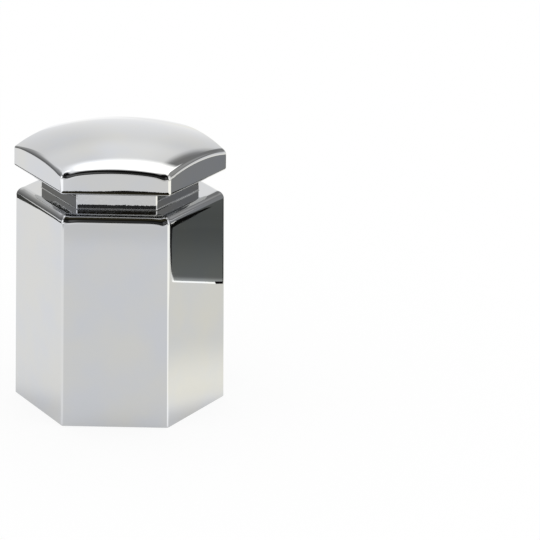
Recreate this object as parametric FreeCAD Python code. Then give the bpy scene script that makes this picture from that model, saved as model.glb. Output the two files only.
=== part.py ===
import FreeCAD, Part
import math
import os

# Wheel nut cover cap, moulded in one piece and pushed by hand over a wheel nut.
# Millimetres. The origin is the middle of the open rim and +Z runs up the axis.
# Every hexagon has two corners on the X axis, so flats face -Y and +Y.

# The wheel nut that the cap grips, and the stud that stands out of it
nut_af = 33.0
stud_diameter = 22.0

# Bore: the start lets the nut in and the draft makes it grip further up
bore_start_clearance = 0.05
bore_draft_degrees = 0.35
lead_in_clearance = 0.25
lead_in_depth = 2.0
stud_clearance = 0.75

# Walls
rim_wall = 2.5
shoulder_wall = 2.6
neck_wall = 2.55
crown_wall = 2.6

# Outside: body, neck and overhanging head
body_height = 46.1
body_draft_degrees = 0.5
neck_length = 4.5
head_af = 38.5
head_side_height = 4.35
crown_radius = 58.0

# Edge radii
corner_radius = 0.5
shoulder_radius = 1.7
crown_edge_radius = 1.3
head_edge_radius = 0.65
neck_corner_radius = 0.4
neck_foot_radius = 0.25
rim_radius = 0.3
bore_corner_radius = 0.6

# Sizes that follow
bore_af = nut_af + 2 * bore_start_clearance
lead_in_af = bore_af + 2 * lead_in_clearance
body_af = lead_in_af + 2 * rim_wall
body_slope = math.tan(math.radians(body_draft_degrees))
shoulder_af = body_af - 2 * body_height * body_slope
bore_top = body_height - shoulder_wall
bore_slope = math.tan(math.radians(bore_draft_degrees))
bore_top_af = bore_af - 2 * (bore_top - lead_in_depth) * bore_slope
stud_bore_diameter = stud_diameter + 2 * stud_clearance
neck_af = stud_bore_diameter + 2 * neck_wall
head_bottom = body_height + neck_length
head_corner_top = head_bottom + head_side_height
head_corner_reach = head_af / math.sqrt(3)
crown_centre = head_corner_top - math.sqrt(crown_radius ** 2 - head_corner_reach ** 2)
overall_height = crown_centre + crown_radius

TOLERANCE = 1e-4


def hexagon(af, z):
    """Corners of a level hexagon at height z, of the given width across its flats."""
    reach = af / math.sqrt(3)
    points = []
    for k in range(6):
        angle = math.radians(60 * k)
        points.append(FreeCAD.Vector(reach * math.cos(angle), reach * math.sin(angle), z))
    return points


def flat_face(points):
    """Plane face with the given corners."""
    return Part.Face(Part.makePolygon(points + [points[0]]))


def hex_block(af_below, af_above, z_below, z_above):
    """Hexagonal block whose flats lean evenly from the lower to the upper width."""
    lower = hexagon(af_below, z_below)
    upper = hexagon(af_above, z_above)
    faces = [flat_face(lower[::-1]), flat_face(upper)]
    for k in range(6):
        after = (k + 1) % 6
        faces.append(flat_face([lower[k], lower[after], upper[after], upper[k]]))
    shell = Part.makeShell(faces)
    shell.sewShape()
    return Part.makeSolid(shell)


def is_level(edge, z):
    """True for a straight edge that lies level at height z."""
    return all(abs(vertex.Z - z) < TOLERANCE for vertex in edge.Vertexes)


def is_upright(edge, z_below, z_above):
    """True for a corner edge that climbs from one height to the other."""
    heights = sorted(vertex.Z for vertex in edge.Vertexes)
    if len(heights) < 2 or heights[1] - heights[0] < TOLERANCE:
        return False
    return heights[0] > z_below - TOLERANCE and heights[1] < z_above + TOLERANCE


def rounded(shape, rules):
    """Rounds every edge that a rule picks, all together, so that corners blend.

    A rule is a pair: a test that takes an edge, and the radius for what passes.
    """
    document = FreeCAD.newDocument()
    base = document.addObject("Part::Feature", "Base")
    base.Shape = shape
    fillet = document.addObject("Part::Fillet", "Fillet")
    fillet.Base = base
    picked = []
    for number, edge in enumerate(base.Shape.Edges, start=1):
        for test, radius in rules:
            if test(edge):
                picked.append((number, radius, radius))
                break
    fillet.Edges = picked
    document.recompute()
    result = fillet.Shape.copy()
    FreeCAD.closeDocument(document.Name)
    return result


def between(z_below, z_above):
    """Test for a corner edge that climbs somewhere between two heights."""
    return lambda edge: is_upright(edge, z_below, z_above)


def level_at(z):
    """Test for an edge that lies level at height z."""
    return lambda edge: is_level(edge, z)


def inner_rim(edge):
    """Test for an edge of the open rim that borders the lead-in."""
    reach = max(math.hypot(vertex.X, vertex.Y) for vertex in edge.Vertexes)
    return is_level(edge, 0) and reach < (lead_in_af + rim_wall) / math.sqrt(3)


def neck_foot(edge):
    """Test for an edge where the neck meets the top of the body."""
    reach = max(math.hypot(vertex.X, vertex.Y) for vertex in edge.Vertexes)
    return is_level(edge, body_height) and reach < neck_af / math.sqrt(3) + TOLERANCE


def make_body():
    """Drafted hexagonal body with a broad round along its shoulder."""
    block = hex_block(body_af, shoulder_af, 0, body_height)
    return rounded(block, [
        (level_at(0), rim_radius),
        (level_at(body_height), shoulder_radius),
        (between(0, body_height), corner_radius),
    ])


def make_neck():
    """Straight hexagonal neck, run on into the body and the head that it joins."""
    block = hex_block(neck_af, neck_af, bore_top, head_corner_top)
    return rounded(block, [(between(bore_top, head_corner_top), neck_corner_radius)])


def crown_ball(radius):
    """Ball about the crown's centre, laid over so that its poles and seam miss the cap."""
    ball = Part.makeSphere(radius)
    ball.rotate(FreeCAD.Vector(0, 0, 0), FreeCAD.Vector(0, 1, 0), 90)
    ball.translate(FreeCAD.Vector(0, 0, crown_centre))
    return ball


def make_head():
    """Overhanging hexagonal head, its top cut from a ball so that each side ends in an arc."""
    prism = hex_block(head_af, head_af, head_bottom, overall_height + head_side_height)
    return rounded(prism.common(crown_ball(crown_radius)), [
        (level_at(head_bottom), head_edge_radius),
        (between(head_bottom, head_corner_top), head_edge_radius),
        (level_at(head_corner_top), crown_edge_radius),
    ])


def make_nut_bore():
    """Space for the nut: a drafted hexagon under a wider, shallow lead-in."""
    grip = rounded(hex_block(bore_af, bore_top_af, lead_in_depth, bore_top), [
        (level_at(bore_top), bore_corner_radius),
        (between(lead_in_depth, bore_top), bore_corner_radius),
    ])
    start = rounded(hex_block(lead_in_af, lead_in_af, 0, lead_in_depth), [
        (between(0, lead_in_depth), bore_corner_radius),
    ])
    return start.fuse(grip)


def make_stud_bore():
    """Round space for the stud through the neck, closed by a roof that follows the crown."""
    height = overall_height - lead_in_depth
    column = Part.makeCylinder(stud_bore_diameter / 2, height, FreeCAD.Vector(0, 0, lead_in_depth))
    return column.common(crown_ball(crown_radius - crown_wall))


def make_cap():
    """The whole moulding: solid outside less the stepped space inside."""
    solid = make_body().fuse([make_neck(), make_head()]).removeSplitter()
    solid = rounded(solid, [(neck_foot, neck_foot_radius)])
    shell = solid.cut(make_nut_bore().fuse(make_stud_bore()))
    return rounded(shell, [(inner_rim, rim_radius)])


os.makedirs("parts", exist_ok=True)
cap = make_cap()
cap.exportStep("parts/cap.step")
print("valid", cap.isValid(), "solids", len(cap.Solids), "faces", len(cap.Faces))
print("volume cm3", round(cap.Volume / 1000, 2), "height", round(cap.BoundBox.ZLength, 2))
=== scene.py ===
# %% [markdown]
# # A chrome-plated wheel nut cover cap
#
# The real thing is one ABS moulding with bright chrome plate on it: a hexagonal body that tapers
# by half a degree, a straight neck, and an overhanging head whose top is a piece of a ball.
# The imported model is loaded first. It fixes every size and place, and the shown surface is
# then worked out on top of it.

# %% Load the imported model
import math

import bpy
import numpy as np
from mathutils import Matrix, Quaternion, Vector


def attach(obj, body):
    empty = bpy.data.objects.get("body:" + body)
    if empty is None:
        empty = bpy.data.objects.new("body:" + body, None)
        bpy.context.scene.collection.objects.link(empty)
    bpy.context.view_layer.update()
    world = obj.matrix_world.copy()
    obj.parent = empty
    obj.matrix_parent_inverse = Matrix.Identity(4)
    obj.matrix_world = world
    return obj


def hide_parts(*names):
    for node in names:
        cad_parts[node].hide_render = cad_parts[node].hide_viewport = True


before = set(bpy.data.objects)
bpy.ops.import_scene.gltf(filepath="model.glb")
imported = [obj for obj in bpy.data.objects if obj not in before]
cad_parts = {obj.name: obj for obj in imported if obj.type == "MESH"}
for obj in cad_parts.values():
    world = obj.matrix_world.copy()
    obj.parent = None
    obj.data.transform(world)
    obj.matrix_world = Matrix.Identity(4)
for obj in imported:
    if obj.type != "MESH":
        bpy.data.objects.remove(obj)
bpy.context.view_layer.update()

# %% [markdown]
# ## The camera
#
# The photograph was taken through a long lens, a little from the right and from above.
# A camera fitted to the cap's corners gives its distance, its angles and its focal length.
# The cap stands left of the middle of the picture. Instead of shifting the lens, the camera is
# turned a little to the right, about its own axes, so that upright edges stay upright.

# %% Camera
MM = 0.001
PICTURE = 540

eye_distance = 758.4 * MM
eye_elevation = math.radians(18.79)
eye_azimuth = math.radians(2.81)
camera_roll = math.radians(0.19)
lens_mm = 239.5
sensor_mm = 36.0
aim = Vector((0, 0, 30.47 * MM))
aim_pixel = (119.94, 259.26)

towards_eye = Vector((
    math.sin(eye_azimuth) * math.cos(eye_elevation),
    -math.cos(eye_azimuth) * math.cos(eye_elevation),
    math.sin(eye_elevation),
))
focal_pixels = lens_mm / sensor_mm * PICTURE
offset = Vector((
    (aim_pixel[0] - PICTURE / 2) / focal_pixels,
    (PICTURE / 2 - aim_pixel[1]) / focal_pixels,
    -1,
))
looking = (-towards_eye).to_track_quat("-Z", "Y") @ Quaternion((0, 0, 1), camera_roll)
turn = offset.rotation_difference(Vector((0, 0, -1)))

camera_data = bpy.data.cameras.new("long_lens")
camera_data.lens = lens_mm
camera_data.sensor_width = sensor_mm
camera = bpy.data.objects.new("camera", camera_data)
camera.location = aim + towards_eye * eye_distance
camera.rotation_mode = "QUATERNION"
camera.rotation_quaternion = looking @ turn
bpy.context.scene.collection.objects.link(camera)
bpy.context.scene.camera = camera
print("camera at, mm:", [round(c / MM, 1) for c in camera.location])

# %% [markdown]
# ## The sizes of the moulding
#
# These are the sizes of the real piece, in millimetres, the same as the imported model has. All of
# the surface below follows from them.

# %% Sizes
body_af = 38.6
body_height = 46.1
draft = math.radians(0.5)
neck_af = 28.6
neck_length = 4.5
head_af = 38.5
head_side_height = 4.35
crown_radius = 58.0
lead_in_af = 33.6
lead_in_depth = 2.0
bore_af = 33.1
bore_draft = math.radians(0.35)
bore_top = 43.5
stud_bore_radius = 11.75
crown_wall = 2.6

corner_radius = 0.5
shoulder_radius = 1.7
crown_edge_radius = 1.3
head_edge_radius = 0.65
neck_corner_radius = 0.4
neck_foot_radius = 0.25
rim_radius = 0.3
bore_corner_radius = 0.6

head_bottom = body_height + neck_length
head_corner_reach = head_af / math.sqrt(3)
crown_centre = head_bottom + head_side_height - math.sqrt(crown_radius**2 - head_corner_reach**2)
print("height, mm:", round(crown_centre + crown_radius, 2))

# %% [markdown]
# ## Columns round a hexagon
#
# Every level section of the outside is a hexagon with rounded corners. It could be drawn once and
# bevelled, but then each edge round would have to be patched into its neighbours at the corners.
# Here one set of columns runs round all sections, so the edges, the corners and the flats are one
# even grid.

# %% Columns
FLAT_COLUMNS = 40
CORNER_COLUMNS = 9
CROWDING = 1.5
HALF_SIDE = math.tan(math.pi / 6)


def hexagon_columns():
    """Two plane vectors for each column, H and N, and its place along the flat, from -1 to 1.

    H runs round a hexagon whose flats lie one unit from the axis, and waits at each corner.
    N is the outward normal. It is steady along a flat and turns 60 degrees while H waits.
    (a - r) H + r N is then a hexagon with flats at a and with corners rounded to r.
    The columns stand closer together near the corners, where the surface bends most.
    """
    even = np.linspace(-1, 1, FLAT_COLUMNS)
    place = np.sign(even) * (1 - (1 - np.abs(even)) ** CROWDING)
    turning = np.radians(np.linspace(0, 60, CORNER_COLUMNS + 2)[1:-1])
    all_h, all_n, all_places = [], [], []
    for side in range(6):
        angle = math.radians(30 + 60 * side)
        normal = np.array([math.cos(angle), math.sin(angle)])
        tangent = np.array([-normal[1], normal[0]])
        all_h.append(normal + HALF_SIDE * place[:, None] * tangent)
        all_n.append(np.repeat(normal[None], FLAT_COLUMNS, 0))
        corner = normal + HALF_SIDE * tangent
        all_h.append(np.repeat(corner[None], CORNER_COLUMNS, 0))
        all_n.append(np.cos(turning)[:, None] * normal + np.sin(turning)[:, None] * tangent)
        all_places += [place, np.ones(CORNER_COLUMNS)]
    return np.concatenate(all_h), np.concatenate(all_n), np.concatenate(all_places)


H, N, PLACE = hexagon_columns()
FLAT = np.repeat(np.arange(6), FLAT_COLUMNS + CORNER_COLUMNS)
COLUMNS = len(H)
print("columns:", COLUMNS)

# %% [markdown]
# ## The profile
#
# The surface is a stack of rings from the middle of the crown, over the outside, round the rim
# and up the bore to its roof. Most rings are level, and three numbers give each: the distance of
# its flats from the axis, its corner radius and its height. Each round adds an arc of such rings.
# A flat has one ring close to each end, so that its shading stays flat up to the round.

# %% Level rings
SUPPORT = 0.12
SUPPORT_SHARE = 0.2


def arc(centre_a, centre_z, radius, start, end, steps):
    """Distances and heights along an arc of the profile, between two angles in degrees."""
    angle = np.radians(np.linspace(start, end, steps + 1))
    return centre_a + radius * np.cos(angle), centre_z + radius * np.sin(angle)


def run(a0, z0, a1, z1, steps):
    """Inner points of a straight run of the profile, the first and the last close to its ends."""
    close = min(SUPPORT / math.hypot(a1 - a0, z1 - z0), SUPPORT_SHARE)
    share = np.linspace(close, 1 - close, steps + 1)
    return a0 + (a1 - a0) * share, z0 + (z1 - z0) * share


def lifted(plane, height):
    """Rows of points from level places and the heights over them."""
    return np.concatenate((plane, np.broadcast_to(height, plane.shape[:2] + (1,))), axis=2)


def rings(profile, corner):
    """Rings from distances a, heights z and corner radii r, each by ring, or by ring and column.
    A ring's level places are (a - r) H + r N."""
    a, z, r = [np.asarray(v, float) for v in (*profile, corner)]
    a, z, r = [v[:, None] if v.ndim == 1 else v for v in (a, z, r)]
    a, z, r = np.broadcast_arrays(a, z, r, np.empty((1, COLUMNS)))[:3]
    return lifted((a - r)[:, :, None] * H + r[:, :, None] * N, z[:, :, None])


# %% [markdown]
# ## Rounds that open beside the corners
#
# The polished edges aren't the same all along. A millimetre from a corner the round can open by
# half a millimetre and close on the corner itself, as polishing a mould by hand leaves it. In
# plate this shows at once: the dark line along the edge ends in a dark drop on each side.
# The front flat has it most and the other flats have a trace of it. At the far left corner the
# round of the head closes to less than half its radius instead.
#
# The flats are counted against the clock from the one at the back right, so the front is fifth.

# %% Opening of the rounds
OPENING_PEAK = 0.9
CLOSING_REACH = 6.0


def opened(radius, growth, closing):
    """Radius for each column.

    With t the distance from the corner over the distance of the peak, it grows by t squared
    times exp(2 - 2t), which is nothing at the corner and far from it. At a corner that closes
    it shrinks as well, by exp(-(distance / reach) squared).
    The growth is given for both ends of each flat, the closing for the corner after each flat.
    """
    distance = (1 - np.abs(PLACE)) * head_af / 2 * HALF_SIDE
    t = distance / OPENING_PEAK
    end = np.where(PLACE > 0, growth[FLAT, 1], growth[FLAT, 0])
    shut = np.where(PLACE > 0, closing[FLAT], closing[FLAT - 1])
    opening = end * t**2 * np.exp(2 - 2 * t)
    return radius + opening - shut * np.exp(-(distance / CLOSING_REACH) ** 2)


edge_growth = np.array([
    (0.1, 0.14), (0.12, 0.08), (0.06, 0.1), (0.08, 0.16), (0.5, 0.5), (0.14, 0.1),
])
edge_closing = np.array([0.1, 0.0, 0.75, 0.0, 0.0, 0.0])
shoulder_growth = np.array([
    (0.1, 0.05), (0.08, 0.12), (0.1, 0.06), (0.06, 0.1), (0.2, 0.45), (0.1, 0.08),
])
shoulder_closing = np.array([0.0, 0.1, 0.0, 0.0, 0.0, 0.1])
edge_round = opened(crown_edge_radius, edge_growth, edge_closing)
shoulder_round = opened(shoulder_radius, shoulder_growth, shoulder_closing)
print("crown edge round, mm:", round(edge_round.min(), 2), "to", round(edge_round.max(), 2))

# %% [markdown]
# ## The crown and the head
#
# The head is a ball cut by a hexagon, so the top edge of each side is an arc, highest in the
# middle. A ball of the edge radius, rolled along inside both the flat and the crown, keeps its
# centre on a circle, so the round is a piece of a torus. Written with the distance from the
# axis, that torus has one formula for the flats and the corners.

# %% Crown rings
CROWN_RINGS = 44
CROWN_CROWDING = 0.8
EDGE_RINGS = 12
SIDE_RINGS = 4


def domed(plane, power):
    """Rings over level places, at the height z above the crown's centre where
    z^2 = power - x^2 - y^2. For a ball the power is its radius squared."""
    return lifted(plane, crown_centre + np.sqrt(power - (plane**2).sum(2, keepdims=True)))


def crown_rings():
    """Rings of the crown, the round along its edge and the sides of the head.

    With A the flats' distance, R the crown's radius and r the round's, the centre of the round
    lies rho = sqrt((R - r)^2 - (A - r)^2) above the crown's centre. At an angle p up from
    level, a point of the round has the height z above that centre, where
    z^2 = (rho + r sin p)^2 + (A - r + r cos p)^2 - x^2 - y^2. Where the round meets the crown
    this is R^2 - x^2 - y^2, the ball itself.
    """
    flat, big, small = head_af / 2, crown_radius, edge_round[:, None]
    rho = np.sqrt((big - small) ** 2 - (flat - small) ** 2)
    meet = np.arcsin(rho / (big - small))
    angle = np.linspace(1, 0, EDGE_RINGS + 1)[:, None, None] * meet
    a = flat - small + small * np.cos(angle)
    plane = (a - head_edge_radius) * H + head_edge_radius * N
    edge = domed(plane, (rho + small * np.sin(angle)) ** 2 + a**2)

    share = np.linspace(0, 1, CROWN_RINGS + 1)[1:-1] ** CROWN_CROWDING
    share = np.append(share, 1 - SUPPORT / flat)[:, None, None]
    top = domed(share * edge[0, :, :2], big**2)

    reach = edge[-1, :, 2] - head_bottom - head_edge_radius
    drop = np.linspace(0, 1, SIDE_RINGS + 2)[1:-1, None] * reach
    drop = np.concatenate((np.full((1, COLUMNS), SUPPORT), drop, reach[None] - SUPPORT))
    side = np.repeat(edge[-1][None], len(drop), 0)
    side[:, :, 2] -= drop
    return np.concatenate((top, edge, side))


crown = crown_rings()
print("crown rings:", len(crown), "top of a side, mm:", round(crown[:, :, 2].max(), 2))

# %% [markdown]
# ## Under the head, the neck and the body
#
# The neck meets the shoulder and the head in a small hollow round, where the corner radius grows
# as the ring moves out. The broad round of the shoulder runs into the side, which leans in by
# the draft angle.

# %% Outside rings
SHOULDER_STEPS = 18
SIDE_STEPS = 44
SIDE_END = 0.003
LEDGE_SHARES = np.array([0.03, 0.25, 0.5, 0.75, 0.97])[:, None]

flat = head_af / 2
neck = neck_af / 2


def hollow(centre_z, start, end):
    """Hollow round at a foot of the neck, whose corners open out with it."""
    a, z = arc(neck + neck_foot_radius, centre_z, neck_foot_radius, start, end, steps=6)
    return rings((a, z), neck_corner_radius + a - neck)


def side_at(z):
    """Distance of the body's flats from the axis at a height."""
    return body_af / 2 - z * math.tan(draft)


def side_round_centre(z, radius):
    """Distance at which a round of this radius, centred at height z, touches the leaning side."""
    return side_at(z) - radius / math.cos(draft)


lower_edge = arc(
    flat - head_edge_radius, head_bottom + head_edge_radius, head_edge_radius, 0, -90, steps=10,
)
foot_reach = neck + neck_foot_radius
underside = run(flat - head_edge_radius, head_bottom, foot_reach, head_bottom, steps=4)
neck_low, neck_high = body_height + neck_foot_radius, head_bottom - neck_foot_radius
neck_wall = run(neck, neck_high, neck, neck_low, steps=6)
shoulder_z = body_height - shoulder_round
shoulder_centre = side_round_centre(shoulder_z, shoulder_round)
ledge = (
    foot_reach + (shoulder_centre - foot_reach) * LEDGE_SHARES,
    np.full((len(LEDGE_SHARES), COLUMNS), body_height),
)
ledge_corner = np.linspace(neck_corner_radius + neck_foot_radius, corner_radius, len(LEDGE_SHARES))
turn = np.radians(np.linspace(90, math.degrees(draft), SHOULDER_STEPS + 1))[:, None]
shoulder = (
    shoulder_centre + shoulder_round * np.cos(turn),
    shoulder_z + shoulder_round * np.sin(turn),
)
rim_centre = side_round_centre(rim_radius, rim_radius)
rim_outer = arc(rim_centre, rim_radius, rim_radius, math.degrees(draft), -90, steps=8)
share = np.linspace(0, 1, SIDE_STEPS + 1)[1:-1]
share = np.concatenate(([SIDE_END], share, [1 - SIDE_END]))[:, None]
side_z = shoulder[1][-1] + (rim_outer[1][0] - shoulder[1][-1]) * share

outside = np.concatenate((
    rings(lower_edge, head_edge_radius),
    rings(underside, head_edge_radius),
    hollow(neck_high, 90, 180),
    rings(neck_wall, neck_corner_radius),
    hollow(neck_low, 180, 270),
    rings(ledge, ledge_corner),
    rings(shoulder, corner_radius),
    rings((side_at(side_z), side_z), corner_radius),
    rings(rim_outer, corner_radius),
))
print("outside rings:", len(outside))

# %% [markdown]
# ## The rim and the bore
#
# The rim is flat with a small round on both edges. Inside it comes the plated lead-in, a narrow
# ledge, and then the nut's bore, which narrows as it climbs. The plate ends just past the ledge:
# the bore is bare black plastic. Above the bore the space for the stud is round, so the rings
# change there from a hexagon to a circle.

# %% Inside rings
LEDGE_ROUND = 0.08
NARROWING_RINGS = 7
WALL_RINGS = 8
ROOF_RINGS = 10

lead_in = lead_in_af / 2
bore = bore_af / 2
bore_end = bore - (bore_top - lead_in_depth) * math.tan(bore_draft)
ledge_z = lead_in_depth + LEDGE_ROUND
bore_round_z = bore_top - bore_corner_radius
rim_flat = run(rim_centre, 0, lead_in + rim_radius, 0, steps=4)
rim_corner = np.linspace(corner_radius, bore_corner_radius + rim_radius, len(rim_flat[0]))
rim_inner = arc(lead_in + rim_radius, rim_radius, rim_radius, 270, 180, steps=6)
lead_wall = run(lead_in, rim_radius, lead_in, lead_in_depth, steps=4)
lead_end = np.array([[lead_in], [lead_in_depth]])
ledge_edge = arc(bore + LEDGE_ROUND, ledge_z, LEDGE_ROUND, 270, 180, steps=4)
bore_wall = run(bore, ledge_z, bore_end, bore_round_z, steps=20)
bore_round = arc(bore_end - bore_corner_radius, bore_round_z, bore_corner_radius, 0, 90, steps=8)

plated_inside = np.concatenate((
    rings(rim_flat, rim_corner),
    rings(rim_inner, bore_corner_radius + rim_inner[0] - lead_in),
    rings(lead_wall, bore_corner_radius),
    rings(lead_end, bore_corner_radius),
    rings(ledge_edge, bore_corner_radius + ledge_edge[0] - bore),
))
bare_bore = np.concatenate([rings(part, bore_corner_radius) for part in (bore_wall, bore_round)])

direction = np.arctan2(bare_bore[-1, :, 1], bare_bore[-1, :, 0])
circle = stud_bore_radius * np.stack((np.cos(direction), np.sin(direction)), axis=1)


def stud_rings():
    """Rings of the flat that narrows from hexagon to circle, the round wall and the domed roof."""
    roof_radius = crown_radius - crown_wall
    wall_top = crown_centre + math.sqrt(roof_radius**2 - stud_bore_radius**2)
    share = np.linspace(0, 1, NARROWING_RINGS + 1)[1:, None, None]
    narrowing = lifted((1 - share) * bare_bore[-1, :, :2] + share * circle, bore_top)
    climb = np.linspace(bore_top, wall_top, WALL_RINGS + 1)[1:, None, None]
    wall = lifted(np.broadcast_to(circle, (WALL_RINGS, COLUMNS, 2)), climb)
    closing = np.linspace(1, 0, ROOF_RINGS + 2)[1:-1, None, None]
    return np.concatenate((narrowing, wall, domed(closing * circle, roof_radius**2)))


stud = stud_rings()
print("inside rings:", len(plated_inside) + len(bare_bore) + len(stud))

# %% [markdown]
# ## One closed mesh
#
# The rings are joined into quads, column by column, and a fan of triangles closes each pole.
# The faces of the bore get the second material.

# %% Mesh
def ring_quads(rows, columns):
    """Point numbers of a stack of rings, those one column on, and the quads between the rings."""
    number = np.arange(rows * columns).reshape(rows, columns)
    after = np.roll(number, -1, axis=1)
    quads = np.stack((number[:-1], number[1:], after[1:], after[:-1]), axis=2)
    return number, after, quads.reshape(-1, 4).tolist()


def closed_mesh(name, stack, first_pole, last_pole):
    """Mesh from a stack of rings, with a pole before the first ring and after the last."""
    count, columns = stack.shape[:2]
    points = np.concatenate((stack.reshape(-1, 3), [first_pole, last_pole])) * MM
    number, after, quads = ring_quads(count, columns)
    top = np.stack((np.full(columns, count * columns), number[0], after[0]), axis=1)
    end = np.stack((np.full(columns, count * columns + 1), after[-1], number[-1]), axis=1)
    mesh = bpy.data.meshes.new(name)
    mesh.from_pydata(points, [], quads + top.tolist() + end.tolist())
    mesh.polygons.foreach_set("use_smooth", np.ones(len(mesh.polygons), bool))
    mesh.update()
    return mesh


stack = np.concatenate((crown, outside, plated_inside, bare_bore, stud))
apex = [0, 0, crown_centre + crown_radius]
roof = [0, 0, crown_centre + crown_radius - crown_wall]
mesh = closed_mesh("plated_cap", stack, apex, roof)
plated_rings = len(crown) + len(outside) + len(plated_inside)
bare = np.zeros(len(mesh.polygons), int)
bare[(plated_rings - 1) * COLUMNS:(len(stack) - 1) * COLUMNS] = 1
bare[-COLUMNS:] = 1
mesh.polygons.foreach_set("material_index", bare)
cap = bpy.data.objects.new("plated_cap", mesh)
bpy.context.scene.collection.objects.link(cap)
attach(cap, "root")
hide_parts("cap")
print("faces:", len(mesh.polygons), "points:", len(mesh.vertices))

# %% [markdown]
# ## Material tools
#
# Colours are written as the eye reads them, in sRGB, and turned linear. Patterns are
# given their real size in millimetres, so one function turns that into a noise scale.
# One function adds any node, and three short ones stand for the nodes that come up most.

# %% Material tools
def linear(code):
    """Linear red, green, blue and alpha of an sRGB hex colour."""
    parts = [int(code[i:i + 2], 16) / 255 for i in (1, 3, 5)]
    return [c / 12.92 if c <= 0.04045 else ((c + 0.055) / 1.055) ** 2.4 for c in parts] + [1.0]


def per_metre(size_mm):
    """Noise scale that gives a pattern of this size in object coordinates: 1000 over the size."""
    return 1000 / size_mm


def add(tree, kind, settings):
    """Adds a node. A setting's name is an input or a property, a number is an input's place.
    A setting that is the output of another node is linked to its input."""
    node = tree.nodes.new(kind)
    for key, value in settings.items():
        if isinstance(value, bpy.types.NodeSocket):
            tree.links.new(value, node.inputs[key])
        elif isinstance(key, int) or key in node.inputs:
            node.inputs[key].default_value = value
        else:
            setattr(node, key, value)
    return node


def noise(tree, place, size_mm, detail):
    """Value of a noise pattern of this size, from 0 to 1."""
    node = add(tree, "ShaderNodeTexNoise", {
        "Vector": place, "Scale": per_metre(size_mm), "Detail": detail,
    })
    return node.outputs["Fac"]


def ranged(tree, value, low, high, to_low=0.0, to_high=1.0):
    """Takes a value from one range to another along a straight line, and stops at both ends."""
    node = add(tree, "ShaderNodeMapRange", {
        "Value": value, "From Min": low, "From Max": high, "To Min": to_low, "To Max": to_high,
    })
    return node.outputs["Result"]


def maths(tree, operation, *values):
    """Result of a math node, from numbers and outputs of other nodes."""
    settings = {"operation": operation, **dict(enumerate(values))}
    return add(tree, "ShaderNodeMath", settings).outputs[0]


def object_place(tree):
    """Place on the object, as a vector, and its height."""
    place = add(tree, "ShaderNodeTexCoord", {}).outputs["Object"]
    return place, add(tree, "ShaderNodeSeparateXYZ", {"Vector": place}).outputs["Z"]


def new_material(name):
    """Empty node material, its node tree and its output's surface input."""
    material = bpy.data.materials.new(name)
    material.use_nodes = True
    tree = material.node_tree
    tree.nodes.clear()
    return material, tree, tree.nodes.new("ShaderNodeOutputMaterial").inputs[0]


# %% [markdown]
# ## Chrome plate
#
# A few tenths of a micrometre of chromium over bright nickel and copper, on moulded ABS. It is a
# mirror with a cool grey tint. Three things tell the eye that it is a plated moulding
# and no perfect mirror: the plate is a little warmer and mistier in clouds about a centimetre
# across, the flats wave by a tenth of a degree as the moulding sank when it cooled, and under the
# head, where the bath hardly moves, the plate is lumpy, most of all in the corner at the foot of
# the neck. There the edges of dark reflections turn ragged. The lumps are a few tenths of a
# millimetre on the real cap and are drawn at 0.8 mm, so that they hold at this picture size.
#
# The sizes, depths and heights below are in millimetres.

# %% Chrome
CLOUD_SIZE = 11
MIST_SIZE = 4
SINK_SIZE = 7
SINK_DEPTH = 0.009
LUMP_SIZE = 0.8
LUMP_DEPTH = 0.014
LUMPY_ABOVE_BODY = (0.05, 0.3)
LUMPY_ABOVE_HEAD_BOTTOM = (1.3, 0.9)
MOST_LUMPY = (2.8, 2.2)
LUMPS_HIGH_UP = 0.45

chrome, tree, surface = new_material("chrome plate on ABS")
place, height = object_place(tree)
cloudy = ranged(tree, noise(tree, place, CLOUD_SIZE, detail=3), 0.35, 0.65)
tint = add(tree, "ShaderNodeMix", {
    "data_type": "RGBA", 0: cloudy, 6: linear("#c4c6ca"), 7: linear("#c8c8c6"),
})
misty = ranged(tree, noise(tree, place, MIST_SIZE, detail=4), 0.4, 0.75, 0.015, 0.06)
waves = add(tree, "ShaderNodeBump", {
    "Distance": SINK_DEPTH * MM, "Height": noise(tree, place, SINK_SIZE, detail=1),
})
over_body = ranged(tree, height, *[(body_height + up) * MM for up in LUMPY_ABOVE_BODY])
under_head = ranged(tree, height, *[(head_bottom + up) * MM for up in LUMPY_ABOVE_HEAD_BOTTOM])
low_down = [(body_height + up) * MM for up in MOST_LUMPY]
deep = ranged(tree, height, *low_down, LUMPS_HIGH_UP, 1.0)
recess = maths(tree, "MULTIPLY", over_body, under_head)
lumpy = add(tree, "ShaderNodeBump", {
    "Distance": LUMP_DEPTH * MM, "Height": noise(tree, place, LUMP_SIZE, detail=2),
    "Strength": maths(tree, "MULTIPLY", recess, deep), "Normal": waves.outputs["Normal"],
})
plate = add(tree, "ShaderNodeBsdfPrincipled", {
    "Metallic": 1.0, "Base Color": tint.outputs[2], "Roughness": misty,
    "Normal": lumpy.outputs["Normal"],
})
tree.links.new(plate.outputs[0], surface)
print("chrome nodes:", len(tree.nodes))

# %% [markdown]
# ## Bare ABS and the edge of the plate
#
# The bore is masked or shaded from the current, so it stays black plastic with the fine grain of
# a spark-eroded mould core. The plate creeps a few tenths of a millimetre past the ledge and ends
# in an uneven line. One material does both: below a height that wanders with noise it is plate.

# %% Bare ABS
CREEP_SIZE = 1.6
CREEP_REACH = 1.6
PLATE_END = (1.25, 1.33)
GRAIN_SIZE = 0.25
GRAIN_DEPTH = 0.008
PLATE_ROUGHNESS = 0.06

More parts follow.
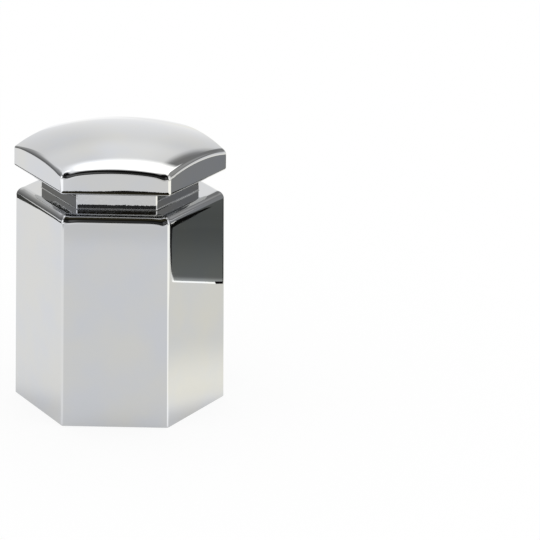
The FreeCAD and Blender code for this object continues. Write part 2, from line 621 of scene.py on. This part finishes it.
black, tree, surface = new_material("bare black ABS")
place, height = object_place(tree)
creep = noise(tree, place, CREEP_SIZE, detail=3)
edge = maths(tree, "MULTIPLY_ADD", creep, CREEP_REACH * MM, height)
bare_share = ranged(tree, edge, *[(lead_in_depth + up) * MM for up in PLATE_END])
colour = add(tree, "ShaderNodeMix", {
    "data_type": "RGBA", 0: bare_share, 6: linear("#b4b5b6"), 7: linear("#0c0c0d"),
})
grain = noise(tree, place, GRAIN_SIZE, detail=2)
gloss = ranged(tree, grain, 0.3, 0.7, 0.22, 0.42)
rough = add(tree, "ShaderNodeMix", {0: bare_share, 2: PLATE_ROUGHNESS, 3: gloss})
pitted = add(tree, "ShaderNodeBump", {"Distance": GRAIN_DEPTH * MM, "Height": grain})
plastic = add(tree, "ShaderNodeBsdfPrincipled", {
    "IOR": 1.5, "Base Color": colour.outputs[2], "Roughness": rough.outputs[0],
    "Metallic": maths(tree, "SUBTRACT", 1.0, bare_share), "Normal": pitted.outputs["Normal"],
})
tree.links.new(plastic.outputs[0], surface)
cap.data.materials.append(chrome)
cap.data.materials.append(black)
plate_ends = [lead_in_depth + PLATE_END[0] - CREEP_REACH * share for share in (0.75, 0.25)]
print("plate ends, mm up:", [round(z, 2) for z in plate_ends])

# %% [markdown]
# ## The studio
#
# Polished plate shows little of itself and nearly all of what stands round it. Lamps alone would
# leave it flat and grey, so the metal gets a tent: sheets and cards that only reflections see,
# bright where white cloth hangs and dark where the open front of a studio is. They light nothing
# else. All else is lit by a plain white world.
#
# Each of these surfaces carries its brightness as a colour attribute, worked out by a formula,
# and one glowing material shows it.

# %% Glowing cloth
cloth, tree, surface = new_material("glowing cloth")
glow = add(tree, "ShaderNodeAttribute", {"attribute_name": "glow"})
shine = add(tree, "ShaderNodeEmission", {"Strength": 1.0, "Color": glow.outputs["Color"]})
tree.links.new(shine.outputs[0], surface)
cloth.cycles.emission_sampling = "NONE"


def stage_mesh(name, points, faces, light, material):
    """Stage object from points and faces, with its light as the point attribute glow."""
    mesh = bpy.data.meshes.new(name)
    mesh.from_pydata(points.reshape(-1, 3), [], faces)
    colour = np.ones((light.size // 3, 4))
    colour[:, :3] = light.reshape(-1, 3)
    mesh.attributes.new("glow", "FLOAT_COLOR", "POINT").data.foreach_set("color", colour.ravel())
    mesh.materials.append(material)
    piece = bpy.data.objects.new(name, mesh)
    bpy.context.scene.collection.objects.link(piece)
    return piece


def only_reflected(piece):
    """Hides a stage piece from everything but reflections."""
    for ray in ("camera", "diffuse", "transmission", "volume_scatter", "shadow"):
        setattr(piece, "visible_" + ray, False)


def grid_faces(rows, columns):
    """Quads of a grid that closes on itself along its rows, and one face over its first row."""
    number, _, quads = ring_quads(rows, columns)
    return quads + [number[0].tolist()]


def step(value, edge, soft):
    """Smooth change from 0 to 1, centred on the edge, that takes soft on each side of it:
    s squared times (3 - 2s), where s is the share of the way across."""
    share = np.clip((value - edge) / (2 * soft) + 0.5, 0, 1)
    return share * share * (3 - 2 * share)


def fall(value, edge, soft):
    """Smooth change from 1 to 0 at an edge."""
    return 1 - step(value, edge, soft)


def window(value, low, high, soft):
    """Smooth 1 between two edges and 0 outside them."""
    return step(value, low, soft) * fall(value, high, soft)


def mix(base, level, share):
    """Goes from base to level as the share goes from 0 to 1."""
    return base + (level - base) * share


def layered(light, sheets):
    """Hangs sheets over a light, one over the last. A sheet is its brightness and its share."""
    for level, share in sheets:
        light = mix(light, level, share)
    return light


print("cloth nodes:", len(tree.nodes))

# %% [markdown]
# ## The tent
#
# A place on the tent is given by two angles as seen from the cap: the bearing, 0 to the front
# and positive to the right, and the height above the horizon. A softbox hangs overhead, a little
# behind, and makes the white flare along the front of the crown. Grey walls stand at the sides,
# a brighter sheet straight behind, white screens in front on both sides, and between them the
# dark opening for the lens, which draws most of the black lines on the plate.

# %% Tent
TENT_RADIUS = 2.0
TENT_COLUMNS = 360
TENT_ROWS = 181
WALL_LEVEL = 0.43


def tent_light(bearing, height):
    """Brightness of the tent, where 1 is a white sheet in plain light.

    Overhead, a place is given by how far it lies to the right, across, and back on a level
    ceiling one unit up: the sine and the cosine of the bearing, over the tangent of the height.
    """
    side = np.abs(bearing)
    left = fall(bearing, 0, 10)
    right = 1 - left
    reach = 1 / np.tan(np.radians(np.maximum(height, 3)))
    across = reach * np.sin(np.radians(bearing))
    back = -reach * np.cos(np.radians(bearing))

    low_behind = mix(0.96, 1.06, step(side, 173, 5))
    high_behind = mix(1.07, 1.17, step(side, 171, 5))
    behind = mix(low_behind, high_behind, step(height, 34, 6))
    right_screen = mix(1.6, 1.25, step(height, 32, 12))
    opening_edge = 23 + 12 * step(height, 42, 12)
    softbox = window(across, -0.31, 0.42, 0.08) * step(back, -0.02, 0.12)
    softbox_edge = 0.85 + 0.08 * across

    return layered(np.full(bearing.shape, WALL_LEVEL), [
        # Low wall to the right, with the dull patch over it that the recess sees
        (1.05, right * fall(height, 14, 3) * window(side, 70, 126, 6)),
        (0.27, window(bearing, 100, 134, 5) * window(height, 16, 24, 3)),
        # Back right: white at the foot, dull above
        (1.0, right * fall(height, 10, 4) * window(side, 122, 190, 6)),
        (0.26, right * window(height, 20, 52, 4) * window(side, 134, 170, 5)),
        # Back left: grey at the foot, dark beside it, white above
        (0.62, left * fall(height, 4, 3) * window(side, 130, 190, 8)),
        (0.19, left * fall(height, 18, 12) * window(side, 98, 134, 6)),
        (1.05, left * step(height, 32, 7) * window(side, 122, 190, 10)),
        # Straight behind
        (behind, mix(step(side, 166.8, 1.6), step(side, 155, 6), left)),
        # White screens: right front, right, left front, and high to the left
        (right_screen, window(bearing, 16, 66, 4) * fall(height, 57, 5)),
        (1.2, window(bearing, 60, 100, 5) * fall(height, 52, 6)),
        (1.9, window(bearing, -88, -29, 4) * fall(height, 27, 5)),
        (1.35, left * step(height, 48, 6) * window(side, 50, 152, 8)),
        # Ceiling, duller on the left in front
        (0.8, fall(across, 0, 0.4) * step(height, 70, 8) * fall(back, -0.05, 0.1)),
        (1.2, step(across, 0, 0.2) * step(height, 72, 6)),
        # The dark opening, and a dim shape that stands in it
        (mix(0.035, 0.006, step(height, 32, 5)),
         window(bearing, -33, opening_edge, 6) * fall(height, 71, 6)),
        (0.13, window(bearing, -24, -5, 4) * window(height, 9, 36, 4)),
        # The softbox
        (2.1, softbox * fall(back, softbox_edge, 0.06)),
    ])


bearing, height = np.meshgrid(
    np.linspace(-180, 179, TENT_COLUMNS), np.linspace(89, -1, TENT_ROWS),
)
level = np.cos(np.radians(height))
points = TENT_RADIUS * np.stack((
    level * np.sin(np.radians(bearing)), -level * np.cos(np.radians(bearing)),
    np.sin(np.radians(height)),
), axis=2)
brightness = tent_light(bearing, height)
light = np.repeat(brightness[:, :, None], 3, axis=2)
only_reflected(stage_mesh("tent", points, grid_faces(*brightness.shape), light, cloth))
print("tent, brightest and darkest:", brightness.max().round(2), brightness.min().round(2))

# %% [markdown]
# ## The floor
#
# The floor is plain white paper. Most of its white is its own, so that it stays white in the
# picture, and the rest is matt and takes the soft shadow at the foot of the cap. What the plate
# reflects of it is painted light, a little uneven, as paper under a softbox is: brighter to the
# left and close on the right, a little warmer on the right, painted darker as shade close to the
# cap's foot, and brightest in two painted fans of light in front of the front corners, as if
# white cards lay there. Those draw the white line down each corner. Far to the left the paper
# ends in the dark.
# The mesh is a stack of rings again, a millimetre apart at the cap's foot and wider further out.

# %% Floor
FLOOR_RADIUS = 2.0
FLOOR_DEPTH = 0.02
FLOOR_WHITE = 0.85
FRONT_CORNER = (11.2, -19.4)
FOOT_SHADE = 0.14
FOOT_REACH = 20
FOOT_FADE = 7


def floor_light(x, y):
    """Brightness of the floor, as the plate reflects it, by place in millimetres.

    It is laid in sheets as the tent is. Near the cap it dims by the foot's shade, which falls
    off as exp(-distance / fade).
    """
    corner_x, corner_y = FRONT_CORNER
    far = np.hypot(x, y)
    bearing = np.degrees(np.arctan2(x, -y))
    from_right = np.degrees(np.arctan2(x - corner_x, corner_y - y))
    from_left = np.degrees(np.arctan2(x + corner_x, corner_y - y))
    near = fall(far, 215, 8)
    right_fan_edge = mix(70, 114.5, step(far, 97, 6))
    left_fan = mix(mix(1.25, 0.6, step(far, 162, 2)), 1.8, step(far, 175, 2))

    light = layered(np.full(x.shape, 1.0), [
        # Duller further out in front
        (0.88, window(-y, 148, 172, 10) * fall(np.abs(x), 35, 8)),
        (0.75, step(-y, 240, 30) * fall(np.abs(bearing), 35, 8)),
        # Brighter to the left and the right, most of all close by on the right
        (1.14, step(-x, 24, 6)),
        (1.04, step(x, 24, 6)),
        (1.35, step(x, 20, 6) * fall(far, 46, 16)),
        # Painted fans of bright light, as if white cards lay there
        (1.7, window(from_right, 2, right_fan_edge, 1.5) * near),
        (left_fan, window(from_left, -120.5, -5, 1.5) * near),
        # Far off: white at the back right, dark at the left
        (1.3, window(bearing, 100, 128, 4) * step(far, 300, 60)),
        (0.1, window(bearing, -138, -95, 5) * step(far, 1000, 60)),
    ])
    return light * (1 - FOOT_SHADE * np.exp(-np.maximum(far - FOOT_REACH, 0) / FOOT_FADE))


rings_at = np.concatenate((
    [8, 14], np.arange(18, 60, 1.0), np.arange(60, 330, 4),
    np.geomspace(330, FLOOR_RADIUS / MM, 12),
))
away, around = np.meshgrid(rings_at, np.radians(np.arange(360)), indexing="ij")
floor_x, floor_y = away * np.cos(around), away * np.sin(around)
points = lifted(np.stack((floor_x, floor_y), axis=2), -FLOOR_DEPTH) * MM
# Painted light: the paper's reflected light is a little warmer to the right
warm = step(floor_x, 24, 6)[:, :, None] * np.array([0.0, -0.015, -0.09])
light = floor_light(floor_x, floor_y)[:, :, None] * (1 + warm)

paper, tree, surface = new_material("white paper")
matt = add(tree, "ShaderNodeBsdfDiffuse", {"Color": (1, 1, 1, 1)})
glow = add(tree, "ShaderNodeAttribute", {"attribute_name": "glow"})
path = add(tree, "ShaderNodeLightPath", {})
tone = add(tree, "ShaderNodeMix", {
    "data_type": "RGBA", 0: path.outputs["Is Glossy Ray"],
    6: (1, 1, 1, 1), 7: glow.outputs["Color"],
})
white = add(tree, "ShaderNodeEmission", {"Strength": 1.0, "Color": tone.outputs[2]})
seen = maths(tree, "MAXIMUM", path.outputs["Is Camera Ray"], path.outputs["Is Glossy Ray"])
blend = add(tree, "ShaderNodeMixShader", {
    "Fac": maths(tree, "MULTIPLY", seen, FLOOR_WHITE), 1: matt.outputs[0], 2: white.outputs[0],
})
tree.links.new(blend.outputs[0], surface)
paper.cycles.emission_sampling = "NONE"
stage_mesh("floor", points, grid_faces(*away.shape), light, paper)
print("floor rings:", len(rings_at))

# %% [markdown]
# ## Cards
#
# A photographer darkens a chrome face by standing a dark card where the face looks. The body's
# right face looks past the cap to the back right, so a card stands there, more than a centimetre
# clear of the cap. Each part of the plate sees its own height of it: the body the dark foot, the
# neck and the head the grey top, and the broad round of the shoulder all of it. A black margin
# shows as a fine outline, a wedge of black draws the line under the round, and a bright edge lies
# below. A dark band stands to the left in the same way, and a black strip is held just in front
# of the head and below it, to draw the dark line along its lower edge.

# %% Cards
RIGHT_BEARING = 117
LEFT_BEARING = -122
FOOT_CLIMB = -0.052
BLACK = 0.005
NEAR_BLACK = 0.015
STRIP_HEIGHT = 50
FAR_TINT = (0.012, 0.01, 0.008)
NEAR_TINT = (0.055, 0.05, 0.03)


def standing_card(name, bearing, distance, rows, tint, climb=0.0):
    """Upright card made of rows, from the bottom up: height, both ends, brightness.

    The distance is measured from the axis to the card's plane. The ends are places along
    the card, where 0 is straight across from the axis and the bearing grows. Each row rises
    from the start of the widest one by climb times the way along the card.
    """
    turn = math.radians(bearing)
    out = np.array([math.sin(turn), -math.cos(turn)])
    along = np.array([math.cos(turn), math.sin(turn)])
    rows = np.array(rows, float)
    ends = rows[:, 1:3, None]
    heights = rows[:, :1, None] + climb * (ends - ends.min())
    points = lifted(distance * out + ends * along, heights) * MM
    light = np.repeat(rows[:, 3, None, None], 2, axis=1) * np.array(tint)
    faces = [[2 * i, 2 * i + 1, 2 * i + 3, 2 * i + 2] for i in range(len(rows) - 1)]
    only_reflected(stage_mesh(name, points, faces, light, cloth))


standing_card("bright_edge", RIGHT_BEARING, 35.7, [
    (20.56, -20.7, -10.9, 1.7), (20.9, -20.8, -10.9, 1.7),
    (21.2, -20.8, -12, 1.25), (22.4, -21.05, -12, 1.1),
], (1, 1, 0.97), FOOT_CLIMB)
standing_card("black_margin", RIGHT_BEARING, 35.6, [
    (20.05, -11.3, -9.9, BLACK), (20.3, -11.5, -9.5, BLACK), (20.8, -11.6, -9, BLACK),
    (21.3, -20.3, -6.5, NEAR_BLACK), (23, -20.95, -6.5, NEAR_BLACK),
    (25.5, -21.1, -6.5, NEAR_BLACK), (33.5, -21.2, -6.5, NEAR_BLACK),
    (35.5, -21.6, -6.5, NEAR_BLACK), (40.7, -21.8, -6.5, NEAR_BLACK),
], (1, 1, 1))
standing_card("dark_card", RIGHT_BEARING, 35.5, [
    (21.3, -20.45, -9.85, 0.18), (21.8, -20.62, -9.85, 0.175), (23, -20.93, -9.85, 0.17),
    (25.5, -20.8, -9.85, 0.155), (30, -20.75, -9.75, 0.12), (32.3, -20.65, -9.75, 0.11),
    (33.4, -20.4, -9.75, 0.115), (35.2, -19.9, -9.75, 0.11), (37, -18.8, -9.75, 0.115),
    (40.7, -16.8, -9.7, 0.13),
], (0.97, 1.03, 0.98))
standing_card("lit_foot", RIGHT_BEARING, 35.45, [
    (20.98, -20.35, -11.7, 0.6), (21.15, -20.4, -11.5, 0.5), (21.2, -20.42, -9.9, 0.47),
    (21.4, -20.48, -9.85, 0.4), (21.63, -20.56, -9.85, 0.31), (21.85, -20.63, -9.85, 0.215),
    (22.08, -20.7, -9.85, 0.18), (22.35, -20.78, -9.85, 0.175),
], (0.98, 1.02, 0.99), FOOT_CLIMB)
standing_card("grey_card", RIGHT_BEARING, 35.4, [
    (40.6, -24.5, -9.6, 0.31), (50.8, -24.5, -9.6, 0.31),
], (0.98, 1, 1.03))
standing_card("shoulder_line", RIGHT_BEARING, 35.45, [
    (32.6, -21.2, -12, BLACK), (33.3, -21.2, -14.5, BLACK), (35.8, -21.2, -17.5, BLACK),
], (1, 1, 0.9), climb=0.55)
standing_card("recess_card", RIGHT_BEARING, 35.55, [
    (40.6, -10.5, -5.5, 0.16), (49, -10.5, -5.5, 0.2),
], (1.02, 1.01, 0.96))
standing_card("left_band", LEFT_BEARING, 35.5, [
    (41.6, 5, 22.5, 0.07), (47.9, 5, 22.5, 0.07),
], (1, 1.01, 0.94), climb=-0.53)

far_edge = [(-12.5, -23.7), (-3, -24.3), (2, -25), (6, -24.6), (12.5, -23.8)]
near_edge = [(12.5, -19.45), (-12.5, -19.45)]
strip = np.array([(x, y, STRIP_HEIGHT) for x, y in far_edge + near_edge]) * MM
light = np.array([FAR_TINT] * len(far_edge) + [NEAR_TINT] * len(near_edge))
only_reflected(stage_mesh("front_strip", strip, [list(range(len(strip)))], light, cloth))

# %% [markdown]
# ## Light
#
# The floor lies in plain white light from all sides, which gives the soft shadow at the foot of
# the cap. The world is that light and the white behind the cap. It is left at strength 1, so
# white paper comes out just white, and the view transform is the plain one, so the greys that
# the plate reflects come out as they were set.

# %% Light
world = bpy.data.worlds.new("studio")
bpy.context.scene.world = world
world.use_nodes = True
world.node_tree.nodes["Background"].inputs[0].default_value = (1, 1, 1, 1)

bpy.context.scene.view_settings.view_transform = "Standard"
print("view transform:", bpy.context.scene.view_settings.view_transform)
